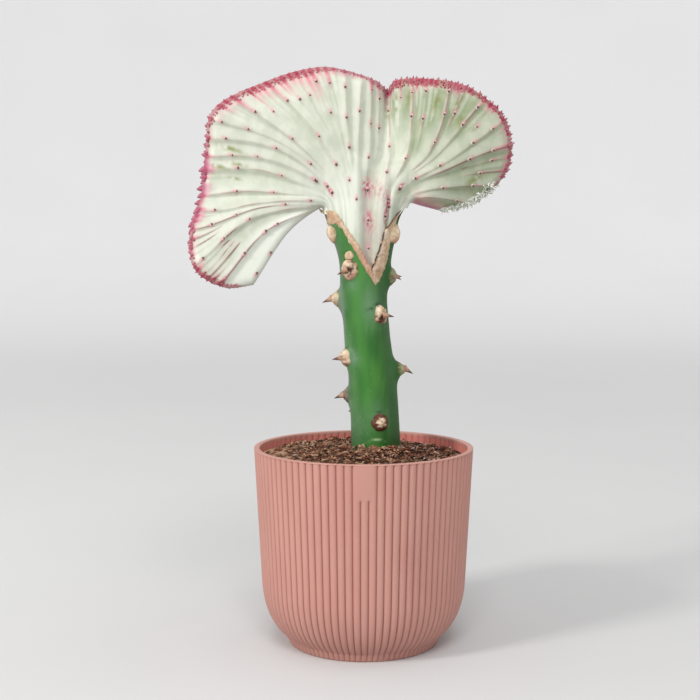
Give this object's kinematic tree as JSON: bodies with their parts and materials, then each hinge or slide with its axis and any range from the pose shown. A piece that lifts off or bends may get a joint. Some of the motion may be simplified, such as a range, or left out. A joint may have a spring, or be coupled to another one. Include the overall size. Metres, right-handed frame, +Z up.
{
  "type": "potted coral cactus",
  "caption": "Crested coral cactus grafted on a spiny green rootstock, growing in potting mix in a fluted salmon-pink plastic pot.",
  "frame": {"origin": "centre of the pot's flat underside, on the surface it stands on", "axes": "+Z up along the pot's axis; -Y the front, where the pot's plain panel is; +X to the right as seen from the front, along the crest's width"},
  "size_m": [0.2003, 0.14, 0.3655],
  "materials": {
    "pot_plastic": "matte",
    "potting_mix": "matte",
    "stem_skin": "satin",
    "callus_cork": "matte",
    "crest_skin": "satin",
    "shield_horn": "matte"
  },
  "bodies": {
    "root": {"pot": "pot_plastic", "potting_mix": "potting_mix", "rootstock_stem": "stem_skin", "graft_callus": "callus_cork", "crest": "crest_skin", "spine_shield_01": "shield_horn", "spine_shield_02": "shield_horn", "spine_shield_03": "shield_horn", "spine_shield_04": "shield_horn", "spine_shield_05": "shield_horn", "spine_shield_06": "shield_horn", "spine_shield_07": "shield_horn", "spine_shield_08": "shield_horn", "spine_shield_09": "shield_horn", "spine_shield_10": "shield_horn", "spine_shield_11": "shield_horn", "spine_shield_12": "shield_horn", "spine_shield_13": "shield_horn", "spine_shield_14": "shield_horn", "spine_shield_15": "shield_horn"}
  },
  "joints": []
}
